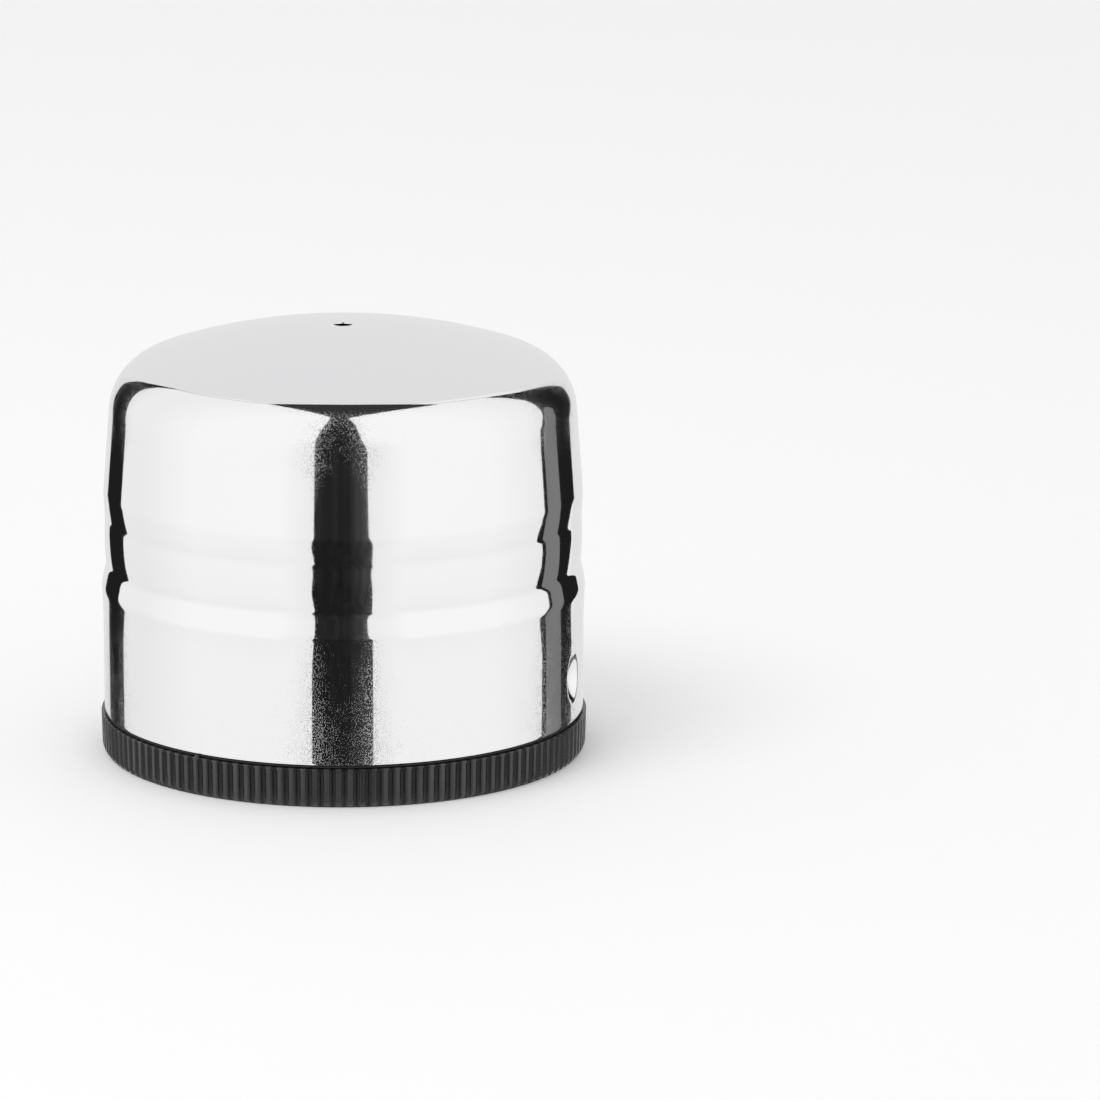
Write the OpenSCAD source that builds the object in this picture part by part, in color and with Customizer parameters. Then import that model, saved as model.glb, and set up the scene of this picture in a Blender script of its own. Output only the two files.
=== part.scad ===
// Table shaker: a drawn steel shell with one pouring hole, on a twist-off moulded base.
// Millimetres. +Z is up, the origin is the centre of the base where it stands on the table,
// and -Y is the front. The shell is shown seated and turned to its open stop: from there it
// lifts straight off, or turns clockwise, seen from above, by lock_turn to the locked stop.

/* [Steel shell] */
// Height of the shell from its rim to the crown
shell_h = 59.75; // [54:0.25:76]
// Outside diameter of the straight skirt
skirt_d = 74; // [66:1:84]
// How much the waist above the step is narrower than the skirt, on the radius
step_in = 0.4; // [0.2:0.1:1.2]
// Thickness of the sheet
sheet_t = 0.5; // [0.4:0.1:0.8]
// Radius of the domed crown
crown_r = 94; // [70:2:140]
// Radius of the shoulder between crown and wall
shoulder_r = 8.9; // [6:0.5:12]
// Draft of the wall above the upper bead, in degrees
wall_draft = 4; // [1:0.5:6]
// Diameter of the pouring hole in the crown
hole_d = 2.8; // [2:0.2:6]

/* [Rolled features] */
// Middle of the step between skirt and waist, above the rim
step_up = 21.65; // [20.5:0.05:24]
// Height of the step
step_h = 2.9; // [2:0.1:4]
// Middle of the swell below the step, above the rim
swell_up = 18.35; // [17.5:0.05:19]
// Half height of the swell
swell_h = 3.4; // [2:0.2:3.6]
// How far the swell stands proud
swell_out = 0.15; // [0.1:0.05:0.5]
// Middle of the upper bead, above the rim
bead_up = 33.15; // [30:0.05:38]
// Half height of the upper bead
bead_h = 2.7; // [2:0.1:4]
// How far the upper bead stands proud
bead_out = 0.3; // [0.2:0.05:0.8]

/* [Bayonet] */
// Diameter of each pressed dimple on the outside of the skirt
dimple_d = 7.4; // [6:0.2:8.4]
// Depth of each pressed dimple
dimple_depth = 1.3; // [1:0.1:1.6]
// Middle of the dimples above the rim
dimple_up = 6.95; // [6.4:0.05:8]
// Direction of the first dimple, in degrees from the front towards +X
dimple_azimuth = 71; // [0:1:180]
// Turn between the open stop and the locked stop, in degrees
lock_turn = 40; // [25:1:60]
// Thickness of the roof that holds the dimples down
roof_t = 2.2; // [1.6:0.2:3]
// How much wider the entry of a track is than its run, on each side
entry_flare = 0.6; // [0.3:0.1:1]
// How far the click ridge stands up from the floor of a track
click_h = 0.25; // [0.1:0.05:0.3]

/* [Base] */
// How far the fluted grip stands out beyond the skirt, on the radius
grip_out = 0.5; // [0.2:0.1:1.5]
// Height of the fluted grip
grip_h = 6; // [5:0.2:8]
// Number of flutes round the grip
flute_count = 132; // [96:4:140]
// Width of one flute at the surface
flute_w = 1.2; // [0.8:0.05:1.3]
// Depth of one flute
flute_depth = 0.4; // [0.25:0.05:0.6]
// Height of the plain lip above the flutes
top_lip = 0.3; // [0.25:0.05:0.8]
// Height of the plain foot below the flutes
foot_run = 1; // [0.8:0.1:1.8]
// How far the foot draws in towards the table, on the radius
foot_pull = 0.75; // [0.2:0.05:0.9]
// Thickness of the floor
floor_t = 1.6; // [1.2:0.2:2.4]
// Thickness of the outer wall of the grip below the floor
grip_t = 2.1; // [1.6:0.1:3]
// Thickness of the spigot wall that carries the collar
spigot_t = 2.1; // [1.6:0.1:2.6]
// Height of the spigot above the floor
spigot_h = 8; // [6:0.5:9]
// Thickness of the collar wall behind its tracks
collar_t = 2.3; // [1.8:0.1:3]
// Number of stiffening ribs under the floor
rib_count = 12; // [6:2:16]
// Thickness of the ribs and of the hub ring
rib_t = 1.2; // [0.8:0.1:1.6]
// Radius of the hub ring under the floor
hub_r = 9; // [6:0.5:12]

/* [Seal] */
// Thickness of the seal ring
seal_t = 0.4; // [0.3:0.1:1.2]
// Radial width of the seal ring
seal_w = 2.3; // [1.6:0.1:2.6]

/* [Clearances] */
// Gap between the steel rim and the relaxed seal
rim_gap = 0.05; // [0.03:0.01:0.1]
// Radial gap between the skirt and the collar
slide_gap = 0.3; // [0.2:0.05:0.5]
// Gap between a dimple and the walls and floor of its track
track_gap = 0.35; // [0.3:0.05:0.5]
// Gap round the snapped and keyed joint between collar and spigot
snap_gap = 0.05; // [0.03:0.01:0.1]

/* [Hidden] */
$fn = 180;
through = 1;                    // extra length of a cutter past the face that it opens

// Shell: heights and radii that follow from the sizes above
skirt_r = skirt_d / 2;
waist_r = skirt_r - step_in;
rim_z = grip_h + seal_t + rim_gap;
mouth_r = skirt_r - sheet_t;
step_z = rim_z + step_up;
swell_z = rim_z + swell_up;
bead_z = rim_z + bead_up;
taper_z = bead_z;
shell_top = rim_z + shell_h;
crown_centre = shell_top - crown_r;
slope = tan(wall_draft);
// The shoulder arc touches the drafted wall and the crown arc, so its centre lies on the
// wall line moved inwards by shoulder_r and on a circle of crown_r - shoulder_r.
reach = crown_r - shoulder_r;
line_0 = waist_r + slope * taper_z - shoulder_r / cos(wall_draft);
quad_a = 1 + slope * slope;
quad_b = line_0 * slope + crown_centre;
quad_c = line_0 * line_0 + crown_centre * crown_centre - reach * reach;
shoulder_z = (quad_b + sqrt(quad_b * quad_b - quad_a * quad_c)) / quad_a;
shoulder_x = line_0 - slope * shoulder_z;
crown_edge = atan2(shoulder_z - crown_centre, shoulder_x);
feature_steps = 10;
shoulder_steps = 14;
crown_steps = 10;

// Dimples: a ball of dimple_ball pressed in leaves a cap dimple_d wide and dimple_depth deep
dimple_ball = (dimple_d * dimple_d / 4 + dimple_depth * dimple_depth) / (2 * dimple_depth);
ball_x = skirt_r + dimple_ball - dimple_depth;
bump_ball = dimple_ball + sheet_t;
bump_r = sqrt(bump_ball * bump_ball - (ball_x - mouth_r) * (ball_x - mouth_r));
dimple_z = rim_z + dimple_up;
dimple_count = 2;

// Collar: the tracks are cut from the same dimples that run in them
collar_r = mouth_r - slide_gap;
track_r = mouth_r - dimple_depth - track_gap;
bore_r = track_r - collar_t;
track_low = dimple_z - bump_r - track_gap;
track_high = dimple_z + bump_r + track_gap;
collar_top = track_high + roof_t;
half_slot = asin((bump_r + track_gap) / collar_r);
entry_w = 2 * (bump_r + track_gap + entry_flare);
click_r = 0.8;
click_back = 2;                 // degrees between the ridge and the edge of a locked dimple
click_angle = lock_turn - half_slot - click_back;
lead_in = 0.8;

// Seal: it lies on the base, round the neck of the collar and under its shoulder
seal_in = 0.1;                  // the seal stays this far inside the skirt
seal_r = skirt_r - seal_in;
neck_r = seal_r - seal_w - snap_gap;
neck_top = grip_h + seal_t + snap_gap;
seal_edge_r = seal_t / 2;

// Base
grip_r = skirt_r + grip_out;
flute_r = (flute_w * flute_w / 4 + flute_depth * flute_depth) / (2 * flute_depth);
spigot_r = bore_r - snap_gap;
spigot_in = spigot_r - spigot_t;
spigot_top = grip_h + spigot_h;
floor_low = grip_h - floor_t;
foot_in = grip_r - grip_t;
rib_low = 1;                    // the ribs stop short of the table
band_top = grip_h - top_lip;
core_in = 0.05;                 // the core of the grip lies this far below the floor of a flute
core_r = grip_r - flute_depth - core_in;
edge_break = 0.2;               // chamfer on the upper edge of the grip
// The foot is an arc that leaves the upright face smoothly and reaches foot_pull at the table
foot_arc_r = (foot_run * foot_run + foot_pull * foot_pull) / (2 * foot_pull);
foot_arc = asin(foot_run / foot_arc_r);
foot_steps = 5;
snap_bead_r = 0.5;
snap_bead_out = 0.3;
snap_z = spigot_top - 2;        // the snap bead lies below the lead-in of the spigot
key_count = 4;
key_w = 3;
key_out = 0.9;
key_top = snap_z - 1.5;         // the keys end below the snap bead
gate_d = 4;
gate_depth = 0.4;

steel_colour = [0.82, 0.83, 0.84];
base_colour = [0.13, 0.13, 0.14];
collar_colour = [0.17, 0.17, 0.18];
seal_colour = [0.07, 0.07, 0.07];

// A smooth hill of height 1 for u between -1 and 1
function hill(u) = abs(u) < 1 ? (1 + cos(180 * u)) / 2 : 0;

// A smooth climb from 0 to 1 while u goes from 0 to 1
function climb(u) = (1 - cos(180 * min(max(u, 0), 1))) / 2;

// Points on an arc about centre, from angle a to angle b, with or without its first point
function arc(centre, r, a, b, steps, first = 0) = [
    for (i = [first : steps])
        let (t = a + (b - a) * i / steps)
        [centre[0] + r * cos(t), centre[1] + r * sin(t)]
];

// Evenly spaced heights across one rolled feature, with or without its first one
function heights(low, high, first = 0) = [
    for (i = [first : feature_steps])
        low + (high - low) * i / feature_steps
];

// Outside radius of the wall at height z: skirt, swell, step, waist, bead and drafted wall
function wall_r(z) = skirt_r
    + swell_out * hill((z - swell_z) / swell_h)
    - step_in * climb((z - step_z) / step_h + 0.5)
    + bead_out * hill((z - bead_z) / bead_h)
    - slope * max(0, z - taper_z);

step_low = step_z - step_h / 2;
swell_heights = heights(swell_z - swell_h, min(swell_z + swell_h, step_low));
step_heights = heights(step_low, step_low + step_h, 1);
bead_heights = heights(bead_z - bead_h, bead_z + bead_h);
wall_heights = concat([rim_z], swell_heights, step_heights, bead_heights);

// One side of the sheet, inset from the outside, from the rim up to the axis
function shell_side(inset) = concat(
    [for (z = wall_heights) [wall_r(z) - inset, z]],
    arc([shoulder_x, shoulder_z], shoulder_r - inset, wall_draft, crown_edge, shoulder_steps),
    arc([0, crown_centre], crown_r - inset, crown_edge, 90, crown_steps, 1)
);

// The same list from its other end
function reversed(list) = [for (i = [len(list) - 1 : -1 : 0]) list[i]];

// Places its children at each dimple, with +X pointing outwards through it
module at_dimples() {
    for (i = [0 : dimple_count - 1])
        rotate([0, 0, dimple_azimuth - 90 + i * 360 / dimple_count])
            children();
}

// Drawn shell: revolved sheet, dimples pushed in from outside, pouring hole
module steel_shell() {
    color(steel_colour)
    difference() {
        union() {
            rotate_extrude()
                polygon(concat(shell_side(0), reversed(shell_side(sheet_t))));
            intersection() {
                at_dimples()
                    translate([ball_x, 0, dimple_z])
                        sphere(r = bump_ball);
                translate([0, 0, dimple_z - dimple_d])
                    cylinder(h = 2 * dimple_d, r = skirt_r - sheet_t / 2);
            }
        }
        at_dimples()
            translate([ball_x, 0, dimple_z])
                sphere(r = dimple_ball);
        translate([0, 0, shell_top - crown_r / 10])
            cylinder(h = crown_r / 5, d = hole_d);
    }
}

// Soft flat ring with a rounded outer edge
module seal_ring() {
    inner = neck_r + snap_gap;
    color(seal_colour)
    rotate_extrude()
        polygon(concat(
            [[inner, grip_h]],
            arc([seal_r - seal_edge_r, grip_h + seal_edge_r], seal_edge_r, -90, 90, 8),
            [[inner, grip_h + seal_t]]
        ));
}

// Corners of a wedge from the axis out past the skirt, between angles a and b
function wedge(a, b) = [
    [0, 0],
    [skirt_d * cos(a), skirt_d * sin(a)],
    [skirt_d * cos(b), skirt_d * sin(b)]
];

// One J shaped track: a flared entry open at the top, and a run clockwise to the locked stop
module track() {
    entry_low = track_high - track_gap;
    difference() {
        union() {
            translate([0, 0, track_low])
                linear_extrude(track_high - track_low)
                    polygon(wedge(-lock_turn - half_slot, half_slot));
            translate([0, -entry_w / 2, entry_low])
                cube([skirt_r, entry_w, collar_top + through - entry_low]);
        }
        cylinder(h = collar_top + 2 * through, r = track_r);
    }
}

// Ridge across the track, which the dimple clicks over just before the locked stop
module click_ridge() {
    rotate([0, 0, -click_angle])
        translate([track_r + click_h - click_r, 0, track_low - roof_t / 2])
            cylinder(h = track_high - track_low + roof_t, r = click_r, $fn = 48);
}

// Collar inside the skirt: neck for the seal, two tracks, and a bore that snaps on the spigot
module bayonet_collar() {
    color(collar_colour)
    difference() {
        union() {
            difference() {
                rotate_extrude()
                    polygon([
                        [bore_r, grip_h],
                        [neck_r, grip_h],
                        [neck_r, neck_top],
                        [collar_r, neck_top],
                        [collar_r, collar_top - lead_in],
                        [collar_r - lead_in, collar_top],
                        [bore_r, collar_top]
                    ]);
                at_dimples()
                    track();
            }
            at_dimples()
                click_ridge();
        }
        snap_ring(snap_bead_r + snap_gap);
        keys(key_w + 2 * snap_gap, key_out + snap_gap, key_top + snap_gap);
    }
}

// Rounded ring round the spigot, or the groove for it with a larger radius
module snap_ring(r) {
    rotate_extrude()
        translate([spigot_r + snap_bead_out - snap_bead_r, snap_z])
            circle(r = r, $fn = 48);
}

// Upright keys round the spigot, or the slots for them with larger sizes
module keys(w, out, top) {
    for (i = [0 : key_count - 1])
        rotate([0, 0, 45 + i * 360 / key_count])
            translate([spigot_r - spigot_t / 2, -w / 2, grip_h - floor_t / 2])
                cube([spigot_t / 2 + out, w, top - grip_h + floor_t / 2]);
}

// Profile of the moulded base without its flutes, ribs and keys
module base_profile() {
    foot = [[0, floor_low], [foot_in, floor_low], [foot_in, 0], [grip_r - foot_pull, 0]];
    grip = [
        [core_r, foot_run],
        [core_r, band_top],
        [grip_r, band_top],
        [grip_r, grip_h - edge_break],
        [grip_r - edge_break, grip_h]
    ];
    spigot = [
        [spigot_r, grip_h],
        [spigot_r, spigot_top - lead_in],
        [spigot_r - lead_in, spigot_top],
        [spigot_in, spigot_top],
        [spigot_in, grip_h],
        [0, grip_h]
    ];
    foot_curve = arc([grip_r - foot_arc_r, foot_run], foot_arc_r, -foot_arc, 0, foot_steps, 1);
    polygon(concat(foot, foot_curve, grip, spigot));
}

// Outline of the grip: a disc with a round flute cut at every step
module fluted_outline() {
    difference() {
        circle(r = grip_r);
        for (i = [0 : flute_count - 1])
            rotate(i * 360 / flute_count)
                translate([grip_r - flute_depth + flute_r, 0])
                    circle(r = flute_r, $fn = 24);
        circle(r = foot_in + grip_t / 2);
    }
}

// Fluted band of the grip, which ends at the plain lip above and the plain foot below
module grip_band() {
    translate([0, 0, foot_run])
        linear_extrude(band_top - foot_run)
            fluted_outline();
}

// Hub ring and spokes under the floor
module ribs() {
    rib_h = floor_low - rib_low + floor_t / 2;
    translate([0, 0, rib_low])
        difference() {
            cylinder(h = rib_h, r = hub_r);
            translate([0, 0, -through])
                cylinder(h = rib_h + 2 * through, r = hub_r - rib_t);
        }
    for (i = [0 : rib_count - 1])
        rotate([0, 0, i * 360 / rib_count])
            translate([hub_r - rib_t / 2, -rib_t / 2, rib_low])
                cube([foot_in + grip_t / 2 - hub_r + rib_t / 2, rib_t, rib_h]);
}

// Moulded base: fluted grip and foot, floor, ribs below, keyed spigot above
module fluted_base() {
    color(base_colour)
    difference() {
        union() {
            rotate_extrude()
                base_profile();
            grip_band();
            ribs();
            snap_ring(snap_bead_r);
            keys(key_w, key_out, key_top);
        }
        translate([0, 0, floor_low - through])
            cylinder(h = through + gate_depth, d = gate_d);
    }
}

steel_shell();
seal_ring();
bayonet_collar();
fluted_base();
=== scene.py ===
# %% [markdown]
# # A table shaker in polished steel on a fluted black base
#
# A small restaurant shaker is two things: a deep drawn steel cup turned upside down, with one
# pouring hole in its crown, and a moulded plastic base that closes it from below. Both are round,
# so nearly every piece here is a profile turned about the upright axis. Turning is done with
# numpy as one array operation, and small changes of radius then press the dimples into the
# steel and cut the flutes into the grip. The construction model is the fixed frame: it gives
# the sizes, the bodies and the joints, and the pieces below are laid over it.

# %% Load the frame
import math

import bpy
import numpy as np
from mathutils import Matrix, Vector


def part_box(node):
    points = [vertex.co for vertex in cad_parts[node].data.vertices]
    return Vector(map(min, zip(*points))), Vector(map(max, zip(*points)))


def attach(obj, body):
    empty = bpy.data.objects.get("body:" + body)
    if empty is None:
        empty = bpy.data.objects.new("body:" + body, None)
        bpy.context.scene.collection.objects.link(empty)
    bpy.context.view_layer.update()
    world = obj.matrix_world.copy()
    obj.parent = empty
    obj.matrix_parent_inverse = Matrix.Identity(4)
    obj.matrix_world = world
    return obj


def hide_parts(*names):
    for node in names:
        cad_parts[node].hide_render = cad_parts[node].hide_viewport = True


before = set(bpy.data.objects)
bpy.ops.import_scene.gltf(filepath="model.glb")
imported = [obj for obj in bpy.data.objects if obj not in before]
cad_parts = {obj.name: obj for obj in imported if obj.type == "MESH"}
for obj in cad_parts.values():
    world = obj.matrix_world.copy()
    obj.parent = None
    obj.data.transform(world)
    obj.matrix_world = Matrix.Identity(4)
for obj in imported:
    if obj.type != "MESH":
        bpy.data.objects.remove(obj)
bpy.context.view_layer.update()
MM = 0.001
shell_low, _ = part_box("steel_shell")
_, base_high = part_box("fluted_base")
seal_low, seal_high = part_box("seal_ring")
RIM_Z = shell_low.z / MM
GRIP_H = seal_low.z / MM
GRIP_R = base_high.x / MM
print("rim at", round(RIM_Z, 2), "mm, grip", round(GRIP_H, 2), "mm high")

# %% [markdown]
# ## The camera
#
# A small thing is best seen through a long lens from about a metre away, so that the round
# top and foot look like flat ellipses. A camera is a place, a direction and a focal
# length. The direction is written as three turns: a pitch down to the shaker, a small yaw that
# puts it left of the middle of the frame, and a hair of roll. Matrices keep their order plain.

# %% Camera
CAMERA_AT = Vector((0.0, -0.900, 0.24519))
CAMERA_PITCH = 0.2339
CAMERA_YAW = 0.0353
CAMERA_ROLL = 0.0049
SENSOR_W = 36.0
FOCAL_PX, IMAGE_PX = 6005.6, 1100
LENS = SENSOR_W * FOCAL_PX / IMAGE_PX


def make_camera():
    """Looks along +Y, then turns: roll about the view, pitch down, yaw towards +X."""
    data = bpy.data.cameras.new("camera")
    data.sensor_width = SENSOR_W
    data.lens = LENS
    data.clip_start = 0.01
    data.clip_end = 50.0
    camera = bpy.data.objects.new("camera", data)
    turn = (
        Matrix.Rotation(-CAMERA_YAW, 4, "Z")
        @ Matrix.Rotation(math.pi / 2 - CAMERA_PITCH, 4, "X")
        @ Matrix.Rotation(CAMERA_ROLL, 4, "Z")
    )
    camera.matrix_world = Matrix.Translation(CAMERA_AT) @ turn
    bpy.context.scene.collection.objects.link(camera)
    bpy.context.scene.camera = camera
    return camera


camera = make_camera()
bpy.context.scene.view_settings.view_transform = "Standard"
print("camera lens", round(camera.data.lens, 1), "mm")

# %% [markdown]
# ## From a grid of points to a surface
#
# A turned piece is a grid: one direction runs along its profile, the other round the axis. The
# helper joins such a grid with four-sided faces. It can close the grid in either direction, and
# it joins a row that lies on the axis into a single point, so that a pole is closed without
# thin, overlapping faces. All index work is done on whole arrays.

# %% Grid helper


def grid_faces(rows, columns, close_rows, close_columns):
    """Corners of each face: point (i, j), the next in j, the next in both, the next in i."""
    last_i = rows if close_rows else rows - 1
    last_j = columns if close_columns else columns - 1
    i, j = np.meshgrid(np.arange(last_i), np.arange(last_j), indexing="ij")
    i, j = i.ravel(), j.ravel()
    here = i * columns
    above = (i + 1) % rows * columns
    along = (j + 1) % columns
    return np.stack([here + j, here + along, above + along, above + j], 1)


def join_poles(points, faces, columns):
    """Every point of the first or last row that lies on the axis takes that row's first number."""
    number = np.arange(len(points))
    rows = len(points) // columns
    for row in (0, rows - 1):
        start = row * columns
        if np.hypot(points[start, 0], points[start, 1]) < 1e-9:
            number[start:start + columns] = start
    faces = number[faces]
    kept, compact = np.unique(faces, return_inverse=True)
    faces = compact.reshape(faces.shape)
    return points[kept], [list(dict.fromkeys(face)) for face in faces.tolist()]


def make_piece(name, points, faces):
    """A smooth mesh object in metres from points in millimetres, with its place in its mesh."""
    mesh = bpy.data.meshes.new(name)
    mesh.from_pydata((np.asarray(points) * MM).tolist(), [], faces)
    mesh.validate()
    mesh.polygons.foreach_set("use_smooth", np.full(len(mesh.polygons), True))
    mesh.update()
    piece = bpy.data.objects.new(name, mesh)
    bpy.context.scene.collection.objects.link(piece)
    return piece


def turned(radii, heights, angles):
    """Grid of points: x = r sin(angle), y = -r cos(angle), z = height; the front is at angle 0."""
    x = radii * np.sin(angles)
    y = -radii * np.cos(angles)
    z = heights + 0.0 * angles
    return np.stack(np.broadcast_arrays(x, y, z), -1)


def turned_piece(name, grid, close_profile):
    """Joins a grid of shape (profile, round the axis, 3), which always closes round the axis."""
    rows, columns = grid.shape[:2]
    points = grid.reshape(-1, 3)
    faces = grid_faces(rows, columns, close_profile, True)
    points, faces = join_poles(points, faces, columns)
    piece = make_piece(name, points, faces)
    print(f"{name}: {len(points)} points, {2 * len(faces)} triangles")
    return piece


def round_angles(count):
    """Evenly spaced angles round the axis, without the last one, which is the first again."""
    return np.arange(count) * 2 * np.pi / count


# %% [markdown]
# ## The outline of the drawn cup
#
# The cup is pressed from sheet in several draws. That leaves a straight skirt that swells to a
# ridge, a steep step in to the waist, a shallow second step out and a wall that tapers to a
# tight shoulder under a shallow domed crown. A mirror shows slopes, not radii: where the slope
# jumps, every reflection jumps with it. So the wall is written as its slope at a few heights,
# and the radius is the running sum of the slope. Each jump takes about a millimetre, which is
# the bend of the sheet. The shoulder is an arc that touches the wall line and the crown arc,
# which fixes its centre.

# %% Outline of the cup
SKIRT_R = 37.0
SHELL_H = 59.75
SHEET = 0.5
CROWN_R = 94.0
CROWN_LOWER = 0.015  # the crown stays this much under the top of the frame
SHOULDER_R = 8.9
TAPER = math.radians(4.5)
HOLE_R = 1.4
# heights above the rim, and half the height of each bend
RIDGE_UP, STEP_TOP, WAIST_TOP, TAPER_UP = 19.6, 22.9, 30.45, 34.5
BEND = 0.4
STEP_BEND = 0.62
WALL_END = 60
FINE_STEPS = 6000
WALL_SLOPE = np.array([  # height above the rim, slope
    (0, 0), (13, 0), (16, 0.022), (RIDGE_UP - STEP_BEND, 0.064),
    (RIDGE_UP + STEP_BEND, -0.215), (STEP_TOP - STEP_BEND, -0.225),
    (STEP_TOP + STEP_BEND, 0.09), (24.3, 0.06), (25.2, 0.035), (26.4, 0.01), (27.7, -0.01),
    (29, -0.03), (WAIST_TOP - BEND, -0.02), (WAIST_TOP + BEND, 0.085), (32.3, 0.045),
    (TAPER_UP - BEND, -0.01), (TAPER_UP + BEND, -math.tan(TAPER)), (WALL_END, -math.tan(TAPER)),
])
fine_up = np.linspace(0, WALL_END, FINE_STEPS + 1)
fine_slope = np.interp(fine_up, WALL_SLOPE[:, 0], WALL_SLOPE[:, 1])
fine_gain = (fine_slope[1:] + fine_slope[:-1]) / 2 * (WALL_END / FINE_STEPS)
fine_radius = SKIRT_R + np.concatenate([[0], np.cumsum(fine_gain)])


def hill(u):
    """Raised cosine: (1 + cos(pi u)) / 2 for u between -1 and 1, and 0 outside."""
    return np.where(np.abs(u) < 1, (1 + np.cos(np.pi * np.clip(u, -1, 1))) / 2, 0.0)


def wall_radius(z):
    """Skirt radius plus the running sum of the slope up to this height."""
    return np.interp(z - RIM_Z, fine_up, fine_radius)


def wall_lean(z):
    """Slope of the wall, radius per height: above 0 the wall opens upwards."""
    return np.interp(z - RIM_Z, fine_up, fine_slope)


def shoulder_centre():
    """Point at SHOULDER_R from the taper and at CROWN_R - SHOULDER_R from the crown centre."""
    crown_z = RIM_Z + SHELL_H - CROWN_R - CROWN_LOWER
    slope = math.tan(TAPER)
    on_taper = RIM_Z + TAPER_UP + 2  # any height on the straight taper will do
    start = float(wall_radius(on_taper)) + slope * on_taper - SHOULDER_R / math.cos(TAPER)
    reach = CROWN_R - SHOULDER_R
    a = 1 + slope * slope
    b = start * slope + crown_z
    c = start * start + crown_z * crown_z - reach * reach
    z = (b + math.sqrt(b * b - a * c)) / a
    return start - slope * z, z, crown_z


SHOULDER_X, SHOULDER_Z, CROWN_Z = shoulder_centre()
CROWN_EDGE = math.atan2(SHOULDER_Z - CROWN_Z, SHOULDER_X)
print("shoulder centre", round(SHOULDER_X, 2), round(SHOULDER_Z, 2), "mm")
print("crown starts at", round(math.degrees(CROWN_EDGE), 2), "degrees")
for label, up_mm in zip(("ridge", "step", "waist", "taper"), (RIDGE_UP, STEP_TOP, WAIST_TOP, TAPER_UP)):
    print(label, "radius", round(float(wall_radius(RIM_Z + up_mm)), 2), "mm")

# %% [markdown]
# ## One closed profile through the thickness of the sheet
#
# The sheet is half a millimetre thick, and its cut edges are deburred, so they are round. The
# profile therefore runs up the outside, over the crown, round the lip of the hole, back down
# the inside and round the rim. Offsetting along the outline's normal keeps the thickness even.
# Rows lie close together where the outline bends, and far apart where it is straight.

# %% Profile of the sheet
HOLE_LIP = 0.13
RIM_LIP = 0.12
HOLE_LIP_ROWS, RIM_LIP_ROWS = 3, 2
CROWN_STOP = HOLE_R + 0.14  # the crown's arc ends here and the lip of the hole takes over
DIMPLES_TOP, BENDS_LOW, BENDS_HIGH = 11.5, 12.5, 35.2  # above the rim
FIRST_ROW_UP = 0.12
CLEAR_OF_BEND = 1.45  # in halves of a bend
ROWS_IN_BEND = np.array([-1.25, -0.85, -0.5, -0.17, 0.17, 0.5, 0.85, 1.25])


def wall_rows(dimple_rows, feature_rows, taper_rows):
    """Heights up the wall: even steps, and a cluster of rows at each jump of the slope."""
    bends = np.array([RIDGE_UP, STEP_TOP, WAIST_TOP, TAPER_UP])[:, None]
    half = np.array([STEP_BEND, STEP_BEND, BEND, BEND])[:, None]
    even = np.linspace(BENDS_LOW, BENDS_HIGH, feature_rows, endpoint=False)
    clear = (np.abs(even[None, :] - bends) / half).min(0) > CLEAR_OF_BEND
    in_bends = (bends + half * ROWS_IN_BEND).ravel()
    wall_top = SHOULDER_Z + SHOULDER_R * math.sin(TAPER) - RIM_Z
    above = np.concatenate([
        np.linspace(FIRST_ROW_UP, DIMPLES_TOP, dimple_rows, endpoint=False),
        np.linspace(DIMPLES_TOP, BENDS_LOW, 2, endpoint=False),
        np.sort(np.concatenate([even[clear], in_bends])),
        np.linspace(BENDS_HIGH, wall_top, taper_rows, endpoint=False),
    ])
    return above + RIM_Z


def outline(dimple_rows, feature_rows, taper_rows, shoulder_rows, crown_rows):
    """Points (r, z) and outward normals from the rim to the edge of the pouring hole."""
    z = wall_rows(dimple_rows, feature_rows, taper_rows)
    r = wall_radius(z)
    lean = wall_lean(z)
    wall_normal = np.stack([np.ones_like(lean), -lean], 1) / np.hypot(1, lean)[:, None]
    t = np.linspace(TAPER, CROWN_EDGE, shoulder_rows)
    s = np.linspace(CROWN_EDGE, math.acos(CROWN_STOP / CROWN_R), crown_rows + 1)[1:]
    arc_angles = np.concatenate([t, s])
    arc_normal = np.stack([np.cos(arc_angles), np.sin(arc_angles)], 1)
    shoulder = np.array([SHOULDER_X, SHOULDER_Z]) + SHOULDER_R * arc_normal[:len(t)]
    crown = np.array([0, CROWN_Z]) + CROWN_R * arc_normal[len(t):]
    points = np.concatenate([np.stack([r, z], 1), shoulder, crown])
    return points, np.concatenate([wall_normal, arc_normal])


def lip(centre, radius, start, end, steps):
    """Arc of points for a deburred edge, without its two ends."""
    t = np.linspace(math.radians(start), math.radians(end), steps + 2)[1:-1]
    return np.stack([centre[0] + radius * np.cos(t), centre[1] + radius * np.sin(t)], 1)


outside, _ = outline(dimple_rows=46, feature_rows=50, taper_rows=5, shoulder_rows=30, crown_rows=14)
inner, inner_normal = outline(dimple_rows=26, feature_rows=14, taper_rows=3, shoulder_rows=12, crown_rows=6)
inside = (inner - SHEET * inner_normal)[::-1]
hole_top = outside[-1, 1]
hole_edge = np.concatenate([
    lip((HOLE_R + HOLE_LIP, hole_top - HOLE_LIP), HOLE_LIP, 90, 180, HOLE_LIP_ROWS),
    lip((HOLE_R + HOLE_LIP, hole_top - SHEET + HOLE_LIP), HOLE_LIP, 180, 270, HOLE_LIP_ROWS),
])
rim_edge = np.concatenate([
    lip((SKIRT_R - SHEET + RIM_LIP, RIM_Z + RIM_LIP), RIM_LIP, 180, 270, RIM_LIP_ROWS),
    lip((SKIRT_R - RIM_LIP, RIM_Z + RIM_LIP), RIM_LIP, 270, 360, RIM_LIP_ROWS),
])
profile = np.concatenate([outside, hole_edge, inside, rim_edge])
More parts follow.
